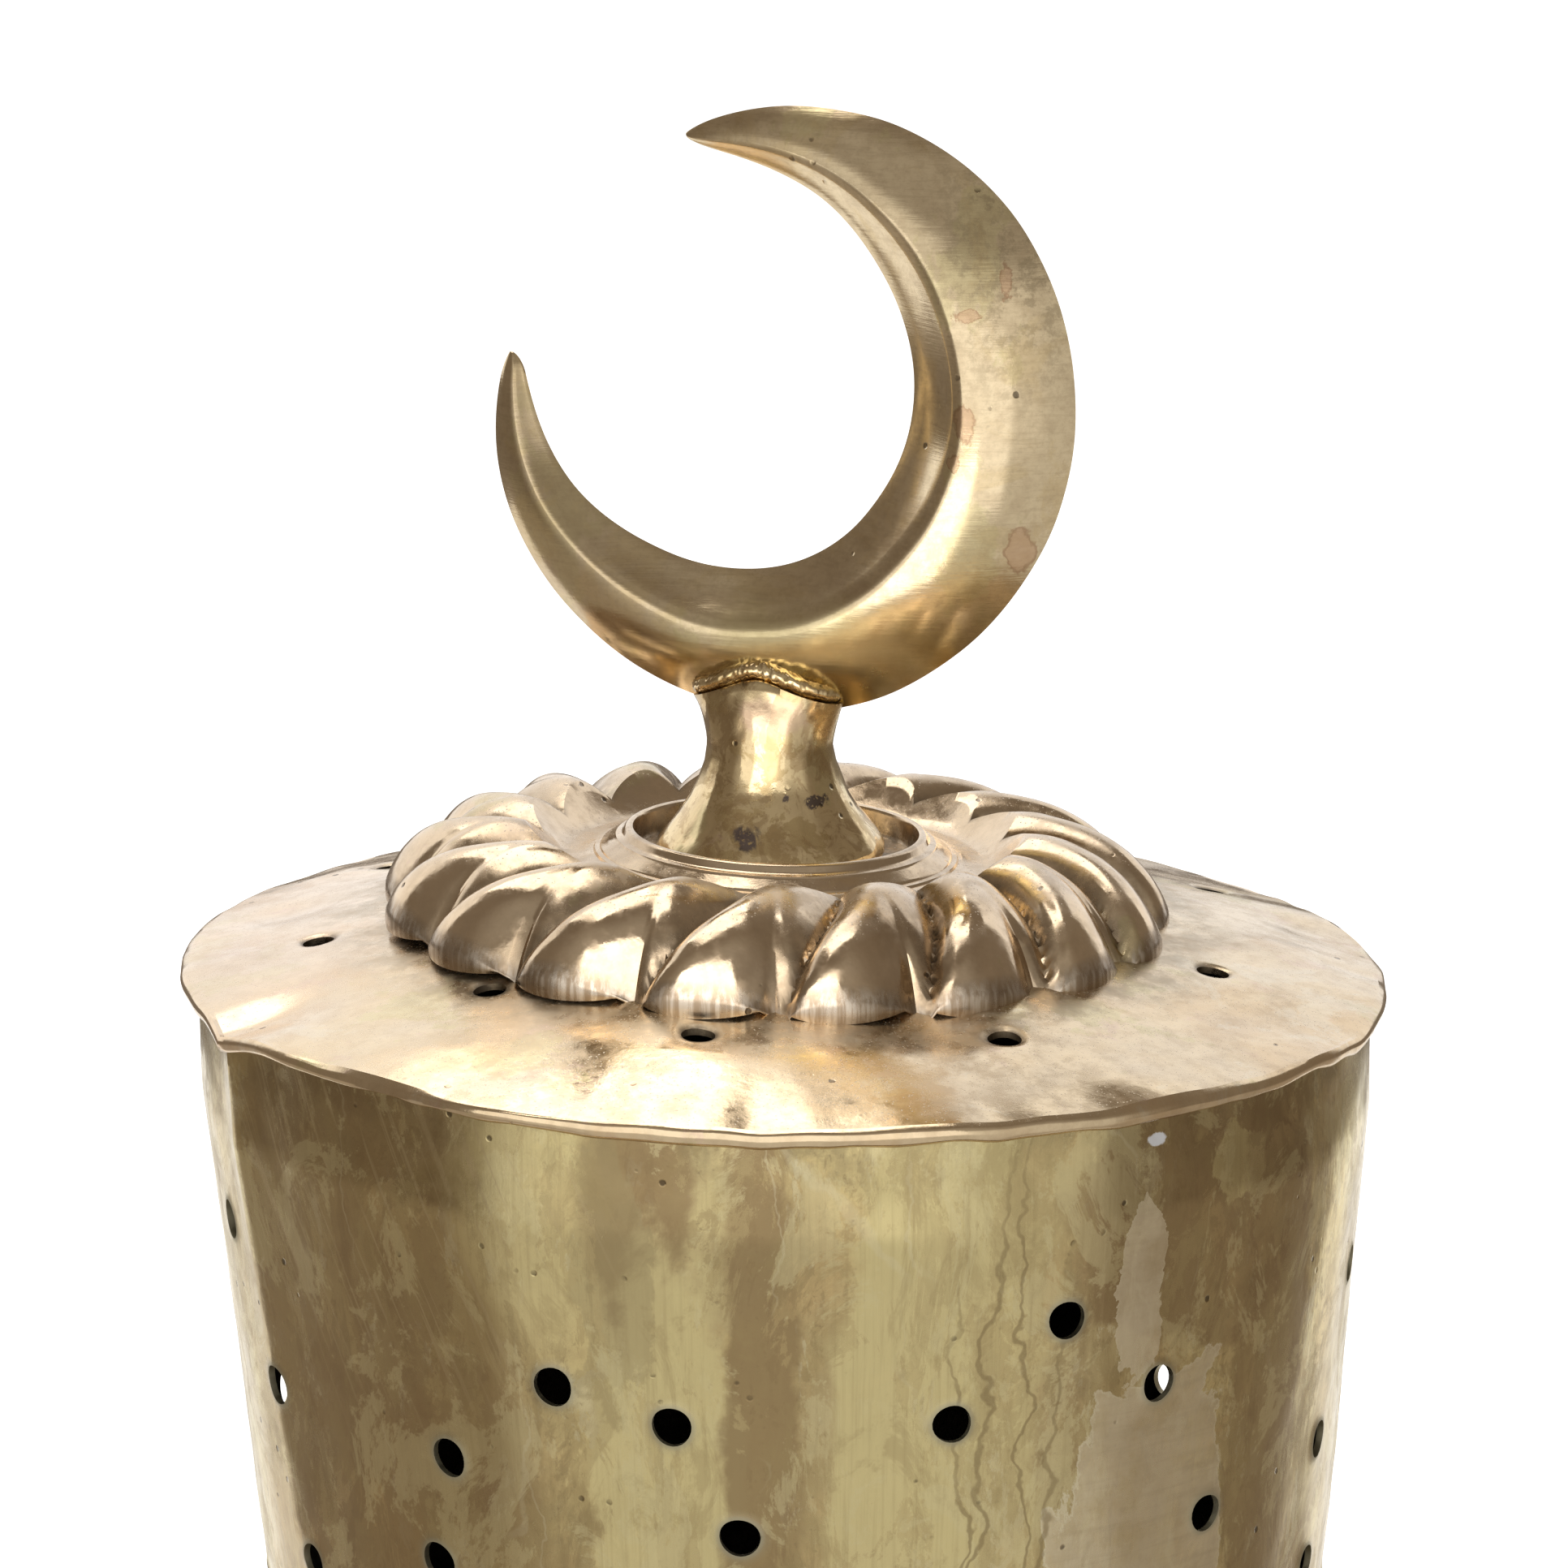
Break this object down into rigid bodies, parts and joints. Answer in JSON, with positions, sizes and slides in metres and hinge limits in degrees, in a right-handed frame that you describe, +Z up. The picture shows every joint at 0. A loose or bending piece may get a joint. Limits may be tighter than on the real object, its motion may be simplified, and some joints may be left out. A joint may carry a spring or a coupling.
{
  "type": "standing censer",
  "caption": "Standing brass censer: a pierced, tapering lift-off hood with a crescent handle and swirl rosette, over a footed dish holding a lift-out ember pan.",
  "frame": {"origin": "centre of the bounding box's base, on the table under the hood's axis, at the feet's lowest plane", "axes": "+Z up along the hood's axis, -Y is the front, the side that shows in the usual view, with the hood's riveted seam at +Y"},
  "size_m": [0.2, 0.2, 0.2872],
  "materials": {
    "cast_brass": "cast brass, hand filed and polished, brown in the hollows",
    "rosette_brass": "cast and turned brass, worn polish, dusty in the grooves",
    "sheet_brass": "hand-beaten sheet brass, patchy brown tarnish and pale streaks",
    "dish_brass": "spun brass, tarnished, handling scratches",
    "rivet_brass": "hammered rivet heads",
    "fastener_steel": "dull steel, light rust",
    "steel_wire": "drawn iron wire, heat darkened",
    "iron": "black wrought iron, scale and ash",
    "pan_copper": "copper sheet, heat stained and sooty"
  },
  "bodies": {
    "base": {"base_dish": "dish_brass", "collar_ring": "dish_brass", "collar_rivets": "rivet_brass", "foot_screws": "fastener_steel", "foot_1": "cast_brass", "foot_2": "cast_brass", "foot_3": "cast_brass", "trivet_ring": "iron", "trivet_leg_1": "iron", "trivet_leg_2": "iron", "trivet_leg_3": "iron"},
    "hood": {"crescent": "cast_brass", "finial_stem": "cast_brass", "finial_stud": "fastener_steel", "backing_washer": "fastener_steel", "stud_nut": "fastener_steel", "rosette": "rosette_brass", "cap_plate": "sheet_brass", "hood_wall": "sheet_brass", "seam_rivets": "rivet_brass", "hem_wire": "steel_wire"},
    "pan": {"ember_pan": "pan_copper", "ember_grate": "iron", "pan_ear_left": "pan_copper", "pan_ear_right": "pan_copper", "ear_rivets": "rivet_brass"},
    "bail": {"pan_bail": "steel_wire"}
  },
  "joints": [
    {"name": "hood_lift", "type": "slide", "parent": "base", "child": "hood", "axis": [0, 0, 1], "range_m": [0, 0.22]},
    {"name": "pan_lift", "type": "slide", "parent": "base", "child": "pan", "axis": [0, 0, 1], "range_m": [0, 0.05]},
    {"name": "bail_swing", "type": "hinge", "parent": "pan", "child": "bail", "pos_m": [0, 0, 0.0628], "axis": [-1, 0, 0], "range_deg": [0, 180]}
  ]
}
